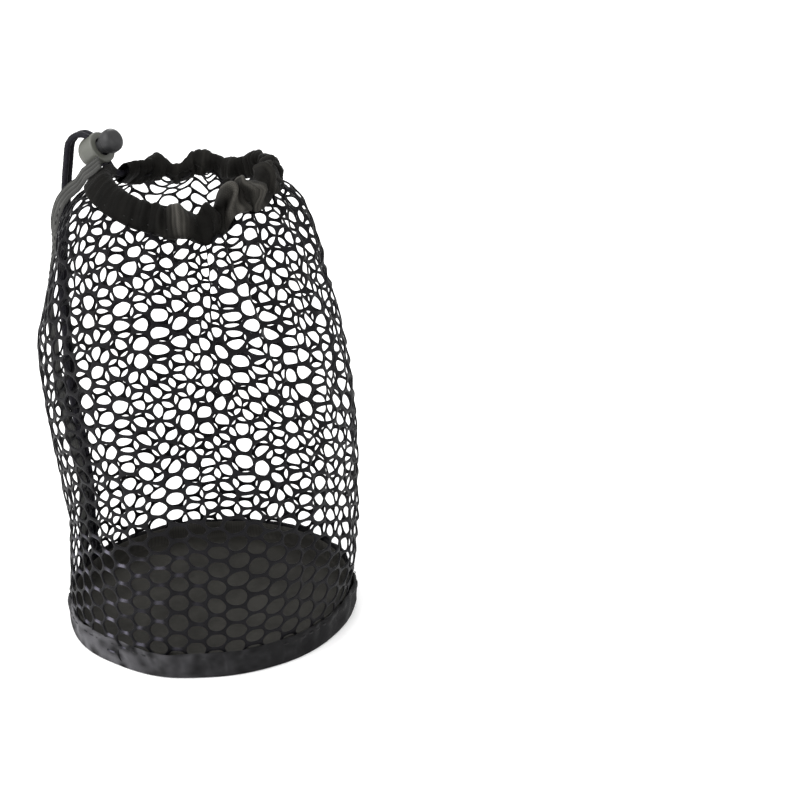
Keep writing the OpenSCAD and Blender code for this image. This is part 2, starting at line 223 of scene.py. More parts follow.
# ---------------------------------------------------------------- the wall's surface
def spline(points, x):
    """Values on a smooth curve through points, at the positions x counted in points."""
    p = np.asarray(points, float)
    n = len(p)
    x = np.clip(np.asarray(x, float), 0, n - 1)
    i = np.minimum(x.astype(int), n - 2)
    t = (x - i)[..., None]
    p0, p1, p2, p3 = p[np.maximum(i - 1, 0)], p[i], p[i + 1], p[np.minimum(i + 2, n - 1)]
    return 0.5 * (2 * p1 + (p2 - p0) * t + (2 * p0 - 5 * p1 + 4 * p2 - p3) * t ** 2
                  + (3 * p1 - p0 - 3 * p2 + p3) * t ** 3)


def smooth(x, low, high):
    """0 below low and 1 above high, with a smooth step between."""
    t = np.clip((np.asarray(x, float) - low) / (high - low), 0, 1)
    return t * t * (3 - 2 * t)


def rim_z(a):
    """Height of the mouth's even top line at an angle."""
    r = np.radians(a)
    return RIM_H - RIM_DIP + RIM_DIP * np.cos(2 * r) + 2 * np.sin(r)


def polar(r, a, z):
    """Points at radius r, angle a in degrees and height z."""
    return np.stack([r * np.cos(np.radians(a)), r * np.sin(np.radians(a)), z], -1)


def casing_pt(a, out, up):
    """A point of the even casing at angle a in degrees, out from its section's middle and up along it."""
    a, out, up = np.broadcast_arrays(np.asarray(a, float), out, up)
    r = np.radians(a)
    t = np.radians(38 + 14 * np.cos(np.radians(a - 175)))
    way = np.stack([np.cos(r) / MOUTH_HALF[0], np.sin(r) / MOUTH_HALF[1]], -1)
    way /= np.linalg.norm(way, axis=-1)[..., None]
    z = rim_z(a) - CASING_H / 2 * np.cos(t) - CASING_T / 2 * np.sin(t) + out * np.sin(t) + up * np.cos(t)
    xy = MOUTH_AT + MOUTH_HALF * np.stack([np.cos(r), np.sin(r)], -1)
    xy = xy + (out * np.cos(t) - up * np.sin(t))[..., None] * way
    return np.concatenate([xy, z[..., None]], -1)


GRID_A = np.arange(0, 361.0)
FOOT = casing_pt(GRID_A, 0, -CASING_H / 2 - 0.9)
stations = []
for z0, cx, r0, _ in ROWS:
    lift = (FOOT[:, 2] - TOP_H) * max(0, (z0 - LEVEL_H) / (TOP_H - LEVEL_H)) ** 2
    stations.append(polar(r0, GRID_A, z0 + lift) + [cx, 0, 0])
for inward, upward, _ in SHOULDER:
    d = FOOT - stations[len(ROWS) - 1]
    stations.append(stations[len(ROWS) - 1] + d * [inward, inward, upward])
STEPS, LAST = 850, len(stations) - 1
stations = np.array(stations)
up_steps = np.linspace(0, LAST, STEPS)
SURF = np.stack([spline(stations[:, k], up_steps) for k in range(len(GRID_A))])
SEAM = np.interp(up_steps, np.arange(LAST + 1), np.concatenate([ROWS[:, 3], SHOULDER[:, 2]]))
ROUND = np.gradient(SURF, axis=0)
ROUND[0] = ROUND[-1] = (SURF[1] - SURF[-2]) / 2
NORMAL = np.cross(ROUND, np.gradient(SURF, axis=1))
NORMAL /= np.linalg.norm(NORMAL, axis=2)[..., None]
SPAN = np.linalg.norm(ROUND, axis=2) * 180 / math.pi
RUN = np.concatenate([[0], np.cumsum(np.linalg.norm(np.diff(SURF, axis=1), axis=2).mean(0))])
WALL_LEN = RUN[-1]


def look_up(table, a, s):
    """Values of a table over angle and distance up the netting, between its entries."""
    a, x = np.asarray(a, float) % 360, np.interp(s, RUN, np.arange(STEPS))
    i, j = np.minimum(a.astype(int), 359), np.minimum(x.astype(int), STEPS - 2)
    fa, fx = a - i, x - j
    if table.ndim == 3:
        fa, fx = fa[..., None], fx[..., None]
    low = table[i, j] * (1 - fx) + table[i, j + 1] * fx
    high = table[i + 1, j] * (1 - fx) + table[i + 1, j + 1] * fx
    return low * (1 - fa) + high * fa


def turned(a, at):
    """Degrees from one angle to another, from -180 to 180."""
    return (np.asarray(a, float) - at + 180) % 360 - 180


def bell(a, at, half):
    """1 at an angle, falling to 0 over about half degrees to each side."""
    return np.exp(-(turned(a, at) / half) ** 2)


def knoll(a, at, half):
    """1 near an angle, falling quickly to 0 about half degrees to each side."""
    return np.exp(-(turned(a, at) / half) ** 4)


def bumps(a, rows, start=0):
    """start and a sum of bumps at an angle, from rows of height, shape, angle and half width."""
    return sum((height * shape(a, at, half) for height, shape, at, half in rows), start)


def hush(a):
    """1 all round the bag and 0 along the side seam, where the tape and the cords lie."""
    return smooth(np.abs(turned(a, 154)), 13, 28)


def lumps(p, scale, seed):
    """Smooth noise at points, from about -0.5 to 0.5, with lumps of about the scale in mm."""
    q = np.asarray(p, float).reshape(-1, 3) / scale + seed
    return np.array([noise.noise(Vector(v)) for v in q]).reshape(np.shape(p)[:-1])


RISE = [(4.5, knoll, 304, 13), (-2.0, bell, 281, 10), (3.6, bell, 342, 26), (2.4, knoll, 110, 10),
        (3.6, knoll, 80, 12), (-1.5, bell, 60, 8), (1.2, bell, 128, 6)]
CRUSH = [(1.5, bell, 308, 26), (1.3, bell, 350, 34), (0.7, bell, 85, 42)]
GATHERS = [(0.95, bell, 292, 34), (0.5, bell, 255, 12), (0.55, bell, 80, 50), (-0.1, bell, 215, 30)]
STRAY = 3.2  # mm that the most crumpled casing strays from its line
CLOTH_R = 70.5  # the radius that the netting's cloth is wide enough for
FINE_FOLDS, WIDE_FOLDS, SLANT_FOLDS, CROSS_FOLDS = 23, 11, 17, 29  # how many go round the bag
CREASE_DEPTH = 3.4


def mouth_rise(a):
    """How far the gathered mouth stands above or below its even line at an angle."""
    return bumps(a, RISE) * hush(a)


def crush(a):
    """How crumpled the mouth's casing is at an angle."""
    return hush(a) * bumps(a, CRUSH, 0.25)


def casing_stray(a):
    """How far the middle of the crumpled casing strays outward and upward from its even line at an angle."""
    rad = np.radians(a)
    q = np.stack([MOUTH_HALF[0] * np.cos(rad), MOUTH_HALF[1] * np.sin(rad), np.zeros_like(a)], -1)
    loose = STRAY * crush(a)
    return loose * lumps(q, 10.0, 14.4), mouth_rise(a) + loose * lumps(q, 10.0, 11.8)


def gathers(a):
    """How strongly the mouth is ruched: smooth at the left of the front, deep from its middle on."""
    return bumps(a, GATHERS, 0.25)


def crumple(a, s):
    """How slack and crumpled the netting is at a place, from 0 to about 1."""
    front = 0.85 * bell(a, 286, 30) * smooth(s, 35, 90)
    return (0.15 + front + 0.4 * bell(a, 20, 60) + 0.5 * bell(a, 100, 45)) * hush(a)


def slant(a, s):
    """The phase of the netting's slanting folds at a place, and how far they are bent there."""
    rad = np.radians(a)
    bend = 1.3 * np.sin(3 * rad + 0.02 * s) + 0.9 * np.sin(0.045 * s + 2 * rad)
    return SLANT_FOLDS * rad + 0.055 * s + bend, bend


def wall(a, s):
    """Points of the netting, in mm, at angle a in degrees and s mm up along it."""
    a, s = np.broadcast_arrays(np.asarray(a, float), np.asarray(s, float))
    p, way, span = look_up(SURF, a, s), look_up(NORMAL, a, s), look_up(SPAN, a, s)
    quiet, near_top, rad = hush(a), WALL_LEN - s, np.radians(a)
    d = -1.6 * bell(a, 190, 24) * smooth(near_top, 4, 20) * (1 - smooth(near_top, 45, 85))
    # folds that run down from the gathered mouth: the cloth's spare width sets their depth
    slack = np.sqrt(np.maximum(0, 2 * ((CLOTH_R / np.minimum(span, BASE_R)) ** 2 - 1)))
    wob = 0.9 * np.sin(3 * rad + 1.1) + 0.6 * np.sin(5 * rad + 0.4)
    pull = gathers(a)
    fine = np.sin(FINE_FOLDS * rad + 2.6 * wob) * (1 - smooth(near_top, 6, 34))
    wide = np.sin(WIDE_FOLDS * rad + 1.9 * wob + 0.02 * s) * (1 - smooth(near_top, 18, 100))
    wide = wide * (1 - 0.5 * (1 - smooth(near_top, 0, 24)))
    deep = span / FINE_FOLDS * 0.62 * pull * fine + span / WIDE_FOLDS * 0.34 * (0.4 + 0.6 * pull) * wide
    d = d + quiet * slack * deep
    # lumps, slanting folds and creases over the rest of the wall
    body = smooth(s, 12, 40) * (1 - 0.75 * (1 - smooth(near_top, 0, 28)))
    loose = crumple(a, s)
    phase, bend = slant(a, s)
    fold = np.sin(phase) + 0.6 * np.sin(CROSS_FOLDS * rad - 0.09 * s + 1.7 * bend)
    uneven = 2.2 * lumps(p, 34.0, 3.7) + (0.7 + 1.4 * loose) * lumps(p, 13.0, 9.2)
    d = d + (0.15 + 0.85 * quiet) * body * uneven
    d = d + quiet * body * 1.7 * loose * fold
    crease = bell(a, 276 + 0.10 * near_top, 4.5) + 0.8 * bell(a, 296 + 0.16 * near_top, 5.0)
    d = d - CREASE_DEPTH * crease * smooth(near_top, 4, 26) * (1 - smooth(near_top, 60, 120))
    q = p + d[..., None] * way
    q[..., 2] += mouth_rise(a) * (1 - smooth(near_top, 0, 30))
    return q


# ---------------------------------------------------------------- mesh helpers
def piece(name, verts, faces, mat, cad=(), slot=None, body="bag", wv=None):
    """A visible piece from points and weave values in mm. It rides a body and stands for CAD nodes."""
    mesh = bpy.data.meshes.new(name)
    mesh.from_pydata([tuple(v) for v in np.asarray(verts, float) * MM], [], faces)
    mesh.validate()
    if wv is not None:
        at = mesh.attributes.new("wv", "FLOAT_VECTOR", "POINT")
        at.data.foreach_set("vector", (np.asarray(wv, float) * MM).astype(np.float32).ravel())
    mesh.polygons.foreach_set("use_smooth", [True] * len(mesh.polygons))
    mesh.materials.append(MAT[mat])
    o = bpy.data.objects.new(name, mesh)
    bpy.context.scene.collection.objects.link(o)
    if body:
        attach(o, body)
    if cad:
        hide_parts(*cad)
    return o


def modify(o, thick=None, levels=0, offset=0.0):
    """Adds thickness in mm and subdivision and applies them."""
    if thick:
        m = o.modifiers.new("thick", "SOLIDIFY")
        m.thickness, m.offset, m.use_even_offset = thick * MM, offset, False
    if levels:
        m = o.modifiers.new("sub", "SUBSURF")
        m.levels = m.render_levels = levels
    graph = bpy.context.evaluated_depsgraph_get()
    made = bpy.data.meshes.new_from_object(o.evaluated_get(graph))
    o.modifiers.clear()
    o.data = made


def grid_faces(rows, cols, close_cols=False, close_rows=False):
    """The faces of a grid of points, joined end to end where it closes."""
    out = []
    for i in range(rows if close_rows else rows - 1):
        for j in range(cols if close_cols else cols - 1):
            i2, j2 = (i + 1) % rows, (j + 1) % cols
            out.append((i * cols + j, i * cols + j2, i2 * cols + j2, i2 * cols + j))
    return out


def resample(points, step):
    """A smooth curve through points, cut to even steps."""
    fine = spline(points, np.linspace(0, len(points) - 1, 60 * len(points)))
    run = np.concatenate([[0], np.cumsum(np.linalg.norm(np.diff(fine, axis=0), axis=1))])
    n = max(4, int(round(run[-1] / step)))
    at = np.linspace(0, run[-1], n + 1)
    return np.stack([np.interp(at, run, fine[:, k]) for k in range(3)], 1), run[-1]


def frames(p):
    """The direction of a curve at each point and two directions across it that don't twist."""
    t = np.gradient(p, axis=0)
    t /= np.linalg.norm(t, axis=1)[:, None]
    n = np.zeros_like(p)
    v = np.array([0.3, 0.9, 0.2])
    for i in range(len(p)):
        v = v - (v @ t[i]) * t[i]
        v = v / np.linalg.norm(v)
        n[i] = v
    return t, n, np.cross(t, n)


PLAIT_LAY = 3.4


def braid(name, points, d, mat="cord", step=0.55, sides=16, plait=0.16, closed_ends=True, **kw):
    """A braided cord along points, with its plait in the mesh. Returns the piece, and its centreline and
    length in metres."""
    p, length = resample(points, step)
    t, n, b = frames(p)
    k = np.arange(sides) * TAU / sides
    run = np.linspace(0, length, len(p))
    turn = TAU * run[:, None] / PLAIT_LAY
    h = np.maximum(np.sin(4 * k[None, :] + turn), np.sin(4 * k[None, :] - turn))
    r = d / 2 * (1 - plait * 0.5) + d / 2 * plait * 0.5 * h
    if closed_ends:
        e = np.minimum(run, length - run)
        r = r * np.sqrt(np.clip(1 - (1 - np.clip(e / (d * 0.35), 0, 1)) ** 2, 0.02, 1))[:, None]
    around = np.cos(k)[None, :, None] * n[:, None, :] + np.sin(k)[None, :, None] * b[:, None, :]
    v = p[:, None, :] + r[..., None] * around
    last = (len(p) - 1) * sides
    faces = grid_faces(len(p), sides, close_cols=True)
    faces += [tuple(reversed(range(sides))), tuple(last + q for q in range(sides))]
    o = piece(name, v.reshape(-1, 3), faces, mat, **kw)
    return o, p * MM, length * MM


# ---------------------------------------------------------------- cords
IN_CASING = 3.1  # degrees that each strand reaches into the casing


def strand(lead, side):
    """The route of a strand: out of the casing, up through the lock, over the arch and down to the knot."""
    inlet = LOCK_AT + side * CORD_APART * LOCK_Y - BORE_IN * LOCK_H
    end = EXIT_A - side * EXIT_HALF
    start = casing_pt([end - side * IN_CASING, end], 0, 0)
    return np.vstack([start, lead, [inlet], HANG + side * CORD_APART * LOCK_Y])


for label, lead, side in (("front", FRONT_LEAD, -1), ("back", BACK_LEAD, 1)):
    o, path, length = braid(f"cord_strand_{label}", strand(lead, side), CORD_D, body=None,
                            cad=(f"drawcord_strand_{label}",), slot="cord")
    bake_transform(o)
inner_a = np.linspace(EXIT_A + EXIT_HALF + IN_CASING, EXIT_A - EXIT_HALF + 360 - IN_CASING, 90)
stray_out, stray_up = casing_stray(inner_a)
inner = casing_pt(inner_a, stray_out, 0) + stray_up[:, None] * [0, 0, 1]
braid("cord_in_casing", inner, CORD_D, step=1.0, sides=12, cad=("drawcord_in_casing",), slot="cord")
t = np.linspace(0, TAU, 90, endpoint=False)
wide = 2 + np.cos(3 * t)
knot_path = np.stack([wide * np.cos(2 * t), wide * np.sin(2 * t), 1.2 * np.sin(3 * t)], 1)
knot_path = KNOT_AT + knot_path * [0.86, 0.86, 0.95]
knot, _, _ = braid("cord_knot", np.vstack([knot_path, knot_path[:2]]), KNOT_CORD_D, step=0.5, sides=14,
                   closed_ends=False, cad=("drawcord_end_knot",), slot="cord")
end_loop, _, _ = braid("cord_end_loop", END_LOOP, CORD_D, cad=("drawcord_end_loop",), slot="cord")
tail_a, _, _ = braid("cord_tail_long", TAIL_LONG, CORD_D, cad=("drawcord_tails",), slot="cord")
tail_b, _, _ = braid("cord_tail_short", TAIL_SHORT, CORD_D, slot="cord")

# ---------------------------------------------------------------- netting
COLS, ROW_PITCH, NET_R = 48, 9.0, 69.6
BAR_H, BAR_D = 0.78, 0.56  # half widths of the level and the slanting bars
HOLE_ROUND = 5  # 2 is an ellipse, and a large number is a sharp hexagon
NET_FROM = 157  # the angle where the columns start
NET_T, NET_SEED, CELL_SPREAD = 0.85, 7, 0.05
KEY_STEPS = 36  # in a cell's pitch: every point of its outline lies on a whole one
col_w = TAU * NET_R / COLS
S_LOW, S_HIGH = 3.0, WALL_LEN + 3.5  # from inside the binding to inside the casing
n_rows = int((S_HIGH - S_LOW) / ROW_PITCH) + 1
corner = np.array([[2 / 3, 0], [1 / 3, 0.5], [-1 / 3, 0.5], [-2 / 3, 0], [-1 / 3, -0.5], [1 / 3, -0.5]])
ring, normals, dists = [], [], []
for c0, c1 in zip(corner, np.roll(corner, -1, axis=0)):
    ring += [c0, (2 * c0 + c1) / 3, (c0 + 2 * c1) / 3]
    c0, c1 = c0 * [col_w, ROW_PITCH], c1 * [col_w, ROW_PITCH]
    e = c1 - c0
    nrm = np.array([e[1], -e[0]]) / np.linalg.norm(e)
    normals.append(nrm)
    dists.append(nrm @ c0 - (BAR_H if abs(nrm[1]) > 0.9 else BAR_D))
ring = np.array(ring)
ring_mm = ring * [col_w, ROW_PITCH]
direction = ring_mm / np.linalg.norm(ring_mm, axis=1)[:, None]
reach = np.maximum(direction @ np.array(normals).T, 1e-3) / np.array(dists)
hole = direction * ((reach ** HOLE_ROUND).sum(1) ** (-1 / HOLE_ROUND))[:, None]
on_bar = [abs(x) < 0.3 and abs(y) > 0.3 for x, y in ring]
verts, faces, bars, index = [], [], [], {}


def shared(x, y, bar):
    """The index of a point on the cells' edges, made once for the cells that meet there."""
    key = (int(round(x * KEY_STEPS)) % (COLS * KEY_STEPS), int(round(y * KEY_STEPS)))
    if key not in index:
        index[key] = len(verts)
        verts.append((x * col_w, y * ROW_PITCH))
        bars.append(bar)
    return index[key]


rng = np.random.default_rng(NET_SEED)
for j in range(COLS):
    for i in range(n_rows):
        cy = i + 0.5 * (j % 2)
        outer = [shared(j + x, cy + y, bar) for (x, y), bar in zip(ring, on_bar)]
        squeeze = 1 + rng.uniform(-CELL_SPREAD, CELL_SPREAD, 2)
        start = len(verts)
        verts += [(j * col_w + hx * squeeze[0], cy * ROW_PITCH + hy * squeeze[1]) for hx, hy in hole]
        bars += on_bar
        m = len(ring)
        faces += [(outer[k], outer[(k + 1) % m], start + (k + 1) % m, start + k) for k in range(m)]
flat = np.array(verts)
s = S_LOW + flat[:, 1]
a = NET_FROM + flat[:, 0] / col_w * 360 / COLS
jig = np.stack([a * 1.2, s, np.zeros_like(s)], 1)
# the cells are jostled, more where the netting is slack
slack = crumple(a, s) * smooth(s, 12, 45)
gather = np.sin(2 * slant(a, s)[0])
high = smooth(s, 10, 40)
a = a + (0.4 + 1.3 * slack) * lumps(jig, 13.0, 21.3) + 1.4 * lumps(jig, 30.0, 5.1) * high
a = a - 0.45 * slack * gather
low = smooth(s, 6, 25)
s = s + (0.6 + 1.3 * slack) * lumps(jig, 13.0, 40.7) * low + 2.4 * lumps(jig, 36.0, 15.1) * high
s = s - 6.0 * bell(a, 350, 42) * smooth(s, 30, 90)
# and they are drawn together under the gathers of the front
a = a - 0.58 * turned(a, 281) * bell(a, 281, 14) * (1 - smooth(WALL_LEN - s, 15, 90))
a = a - 0.24 * turned(a, 272) * bell(a, 272, 32) * smooth(s, 45, 110)
net_pts = wall(a, np.minimum(s, WALL_LEN))
net_pts += np.maximum(0, s - WALL_LEN)[:, None] * (wall(a, WALL_LEN) - wall(a, WALL_LEN - 1.0))
# painted highlights: the level bars at the left of the base are lightened here and there, as if they catch
# the light
sheen = 24 * np.array(bars) * bell(a, 220, 26) * (1 - smooth(s, 52, 68))
sheen = sheen * smooth(lumps(jig, 7.0, 77.0), -0.25, 0.2)
netting = piece("netting_wall", net_pts, faces, "netting", cad=("mesh_wall",), slot="netting",
                wv=np.stack([flat[:, 0], flat[:, 1], sheen], 1))
modify(netting, thick=NET_T, levels=1)

# ---------------------------------------------------------------- casing
PLEATS, FINE_PLEATS, WRINKLES = 27, 61, 118  # how many go round the mouth
ROLL_AT = [(1.1, knoll, 80, 11), (0.9, knoll, 110, 9), (0.8, bell, 262, 8), (1.1, bell, 303, 10)]
# painted light and shade on the casing: highlights on its crumpled lumps, and darker at 220 degrees
PAINTED_HIGHLIGHT_AT = [(9.0, knoll, 261, 8), (12.0, knoll, 305, 12), (3.0, knoll, 335, 18), (1.5, bell, 75, 30),
           (-0.5, bell, 220, 32)]


def ruche(a):
    """How tightly the casing is ruched at an angle: only across the middle and right of the front."""
    return hush(a) * bell(a, 292, 32)


def waver(rad):
    """How far the casing's pleats are out of even steps at an angle in radians."""
    return 0.9 * np.sin(3 * rad + 0.7) + 0.5 * np.sin(7 * rad + 2.0)


def pleat(a, phase):
    """The pleats of the casing at an angle, from -1 in a valley to 1 on a ridge."""
    rad = np.radians(a)
    return np.sin(PLEATS * rad + 2.8 * waver(rad) + phase)


def casing_point(a, u):
    """A point of the gathered casing at angle a, u from 0 to 1 round its section: up the outside, over, down
    the inside. The two skins keep a least distance, so that they never cross."""
    rad = np.radians(a)
    back, quiet, pull, tight = bell(a, 90, 48), hush(a), gathers(a), ruche(a)
    drop = quiet * bell(a, 124, 10)
    half_w, half_h = CASING_T / 2, CASING_H / 2 * (1 - 0.2 * back + 0.45 * drop)
    c, sn = np.cos(TAU * u), np.sin(TAU * u)
    side = np.sign(c) * np.abs(c) ** 0.55
    y = half_h * np.sign(sn) * np.abs(sn) ** 0.8
    wob = waver(rad)
    q = np.stack([MOUTH_HALF[0] * np.cos(rad) + side, MOUTH_HALF[1] * np.sin(rad), y], -1)
    fold = pleat(a, (0.5 + 1.4 * tight) * sn)
    fine = np.sin(FINE_PLEATS * rad + 3 * wob + 0.8 * sn)
    wrinkle = np.sin(WRINKLES * rad + 4 * wob)
    ripple = 0.9 * fold + (0.5 + 0.35 * tight) * fine + (0.22 + 0.2 * tight) * wrinkle
    push = pull * ripple + 1.5 * bumps(a, ROLL_AT) + 1.9 * tight * fold
    push = push + 3.4 * crush(a) * lumps(q, 7.0, 4.4) + 1.3 * back * lumps(q, 3.6, 54.0)
    stray_out, stray_up = casing_stray(a)
    x = side * np.maximum(2.15 - 1.3 * sn ** 2, half_w + 0.2 + quiet * push) + stray_out
    top = quiet * pull * (1 - 0.8 * back) * (0.5 * pleat(a, 1.2) + 0.25 * np.sin(FINE_PLEATS * rad + 3 * wob))
    y = y + (top + 2.0 * tight * pleat(a, 0.9)) * np.maximum(sn, 0)
    y = y - 1.6 * tight * (1 + pleat(a, 2.4)) * np.maximum(-sn, 0) - 2.6 * drop
    p = casing_pt(a + 5.0 * crush(a) * lumps(q, 9.0, 33.0), x, y + 1.2 * back)
    p[..., 2] += stray_up
    return p


FLAT_R, FLAT_H = 36, 36  # the casing's mean radius and its height rolled out, for its weave
SLICES, ROUND_STEPS, CASING_CLOTH = 560, 30, 0.55
ca = np.linspace(EXIT_A + EXIT_HALF, EXIT_A - EXIT_HALF + 360, SLICES)
cu = np.arange(ROUND_STEPS) / ROUND_STEPS
A, U = np.meshgrid(ca, cu, indexing="ij")
pts = casing_point(A, U)
# painted highlights on the pleats' ridges and painted shade in their valleys, carried in the weave's third
# value
painted_ridge_light = bumps(A, PAINTED_HIGHLIGHT_AT) * hush(A) * (0.12 + 0.88 * (0.5 + 0.5 * pleat(A, 1.0 * np.sin(TAU * U))) ** 1.5)
painted_ridge_light = painted_ridge_light * (0.7 + 0.3 * np.sin(np.radians(A) * WRINKLES + 1.5 * np.sin(TAU * U)))
wv = np.stack([np.radians(A) * FLAT_R * 1.6, U * FLAT_H, painted_ridge_light], -1)
casing = piece("gathered_casing", pts.reshape(-1, 3), grid_faces(len(ca), len(cu), close_cols=True), "casing",
               cad=("rim_casing",), slot="casing_fabric", wv=wv.reshape(-1, 3))
modify(casing, thick=CASING_CLOTH, offset=-1.0)


# ---------------------------------------------------------------- threads
def threads(name, segments, d, **kw):
    """Short stitches: each a bowed thread between two points, standing on the cloth."""
    cuts, sides = 7, 8
    v, f = [], []
    k = np.arange(sides) * TAU / sides
    t = np.linspace(0, 1, cuts)
    for p0, p1, out in segments:
        line = p0 + (p1 - p0) * t[:, None] + out * (np.sin(math.pi * t) * 0.55 * d - 0.3 * d)[:, None]
        tt = (p1 - p0) / np.linalg.norm(p1 - p0)
        side = np.cross(tt, out)
        size = d / 2 * np.sqrt(np.clip(np.sin(math.pi * np.clip(t, 0.04, 0.96)), 0, 1)) ** 0.6
        start = len(v)
        for c, rr in zip(line, size):
            v += [c + rr * (math.cos(q) * out + math.sin(q) * side) for q in k]
        last = start + (cuts - 1) * sides
        f += [tuple(start + q for q in face) for face in grid_faces(cuts, sides, close_cols=True)]
        f += [tuple(start + q for q in reversed(range(sides))), tuple(last + q for q in range(sides))]
    piece(name, v, f, "thread", slot="thread", **kw)


def on_surface(fn, x0, x1, lift):
    """A stitch between two parameter points of a surface, lifted off it."""
    p0, p1 = fn(*x0, 0.0), fn(*x1, 0.0)
    mid = tuple((a + b) / 2 for a, b in zip(x0, x1))
    out = fn(*mid, 1.0) - fn(*mid, 0.0)
    out /= np.linalg.norm(out)
    return p0 + lift * out, p1 + lift * out, out


# ---------------------------------------------------------------- side seam tape
TAPE_W, TAPE_T = 8.0, 1.1
RIB_TURNS = 3.5
# a stitch of the seam, the step to the next, and how far it is from the tape's middle
SEAM_STITCH, SEAM_PITCH, SEAM_OUT = 2.5, 3.4, 2.5
tape_at_rows = np.concatenate([np.linspace(0.35, LAST - 0.75, 150), np.linspace(LAST - 0.6, LAST + 1, 16)])
cross = np.linspace(-1, 1, 25)


def tape_shape(x):
    """Height of the tape's outer face across its width: rolled edges and three ribs."""
    rib = 0.3 * np.cos(RIB_TURNS * math.pi * x) * (np.abs(x) < 0.86)
    edge = np.sqrt(np.clip(1.04 - np.abs(x) ** 8, 0.02, 1))
    return TAPE_T * (0.72 + rib + 0.3 * smooth(np.abs(x), 0.78, 0.92)) * edge


def tape_pt(at, x, off):
    """A point of the tape at a station: x mm across it and off mm out from its inner face."""
    turn, lift = math.radians(np.interp(at, TAPE_AT, TAPE_TURN)), np.interp(at, TAPE_AT, TAPE_LIFT)
    if at < LAST - 0.45:
        k = at / LAST * (STEPS - 1)
        s_, a_ = float(np.interp(k, np.arange(STEPS), RUN)), float(np.interp(k, np.arange(STEPS), SEAM))
        p, way, tangent = look_up(SURF, a_, s_), look_up(NORMAL, a_, s_), look_up(ROUND, a_, s_)
        lift += WALL_T / 2 + 0.4
    else:
        a_ = np.interp(at, [LAST - 1, LAST], SHOULDER[-2:, 2])
        up_ = np.interp(at, [LAST - 0.45, LAST, LAST + 1], [-8.5, -4, 5.5])
        out_ = np.interp(at, [LAST - 0.45, LAST], [1.6, CASING_T / 2 + 0.5])
        p, way = casing_pt(a_, out_, up_), casing_pt(a_, 1, 0) - casing_pt(a_, 0, 0)
        tangent = casing_pt(a_ + 1, 0, 0) - casing_pt(a_ - 1, 0, 0)
    tangent = tangent / np.linalg.norm(tangent)
    x, off = np.broadcast_arrays(np.asarray(x, float), off)
    out = lift + off * math.cos(turn) - x * math.sin(turn)
    return p + out[..., None] * way + (x * math.cos(turn) + off * math.sin(turn))[..., None] * tangent


def tape_points(heights):
    """Rows of points across the tape, at heights over its inner face, with a slight ripple along one edge."""
    out = []
    for at in tape_at_rows:
        ripple = 0.2 * math.sin(at * 9.0 + 0.8) + 0.15 * math.sin(at * 4.1)
        out.append(tape_pt(at, cross * TAPE_W / 2, heights + 0.3 * ripple * (cross + 1)))
    return np.array(out)


loop_pts = np.concatenate([tape_points(tape_shape(cross)), tape_points(0 * cross)[:, ::-1]], axis=1)
n, m = loop_pts.shape[:2]
faces = grid_faces(n, m, close_cols=True)
faces += [tuple(reversed(range(m))), tuple((n - 1) * m + q for q in range(m))]
middle = loop_pts[:, len(cross) // 2]
run_len = np.concatenate([[0], np.cumsum(np.linalg.norm(np.diff(middle, axis=0), axis=1))])
xs = np.concatenate([cross, cross[::-1]]) * TAPE_W / 2
# painted light and shade: the tape's ribs are lighter in colour and the grooves between them darker
ribs = 0.45 * np.cos(RIB_TURNS * math.pi * xs[None, :] * 2 / TAPE_W)
wv = np.stack(np.broadcast_arrays(xs[None, :], run_len[:, None], ribs), -1)
piece("seam_tape_cloth", loop_pts.reshape(-1, 3), [f[::-1] for f in faces], "tape", cad=("side_seam_tape",),
      slot="seam_tape", wv=wv.reshape(-1, 3))


def tape_at(s_, x, lift):
    """A point over the tape's outer face, s_ mm up along the netting and x mm across."""
    at = float(np.interp(s_, RUN, np.arange(STEPS))) / (STEPS - 1) * LAST
    return tape_pt(at, x, TAPE_T * 0.9 + lift)


first = float(np.interp(1.05 / LAST * (STEPS - 1), np.arange(STEPS), RUN))
segs = [on_surface(tape_at, (s_, side * SEAM_OUT), (s_ + SEAM_STITCH, side * SEAM_OUT), 0.0)
        for side in (-1, 1) for s_ in np.arange(first, WALL_LEN - 20, SEAM_PITCH)]
threads("seam_stitching", segs, 0.42, cad=("seam_stitches",))

# ---------------------------------------------------------------- base
PUCKERS = 64  # of the binding's seam, all round
DENTS = [(0.8, bell, 248, 9), (-1.2, bell, 227, 12), (-0.7, bell, 264, 7)]


def base_wave(a):
    """Slow unevenness of the base's outline."""
    r = np.radians(a)
    return (bumps(a, DENTS) + 0.4 * np.sin(3 * r + 0.6) + 0.4 * np.sin(7 * r + 2.2)
            + 0.45 * np.abs(np.sin(5.5 * r + 0.3)) - 0.3)


ba = np.arange(0, 360, 0.6)
# the binding's section as radius and height: under the edge of the base, up the outside and down the inside
section = np.array([
    [62.5, 0.9], [62.4, 0.35], [62.8, 0], [66, 0], [69, 0], [69.7, 0.25], [70, 0.9], [70.05, 3], [69.9, 5.5],
    [70, 8], [70.1, 10.2], [70.05, 11.8], [69.9, 12.7], [69.5, 13.1], [69.1, 12.8], [69, 11.5], [69, 8],
    [69, 4], [68.95, 1.5], [68.4, 1], [66, 1]])
A, K = np.meshgrid(ba, np.arange(len(section)), indexing="ij")
R, Z = section[K, 0], section[K, 1]
outer_side = smooth(R, 68.6, 69.8) * smooth(Z, 1, 4)
pucker = np.sin(np.radians(A) * PUCKERS + 1.5 * np.sin(np.radians(A) * 9)) * smooth(Z, 6, 12)
q = polar(R, A, Z * 1.6)


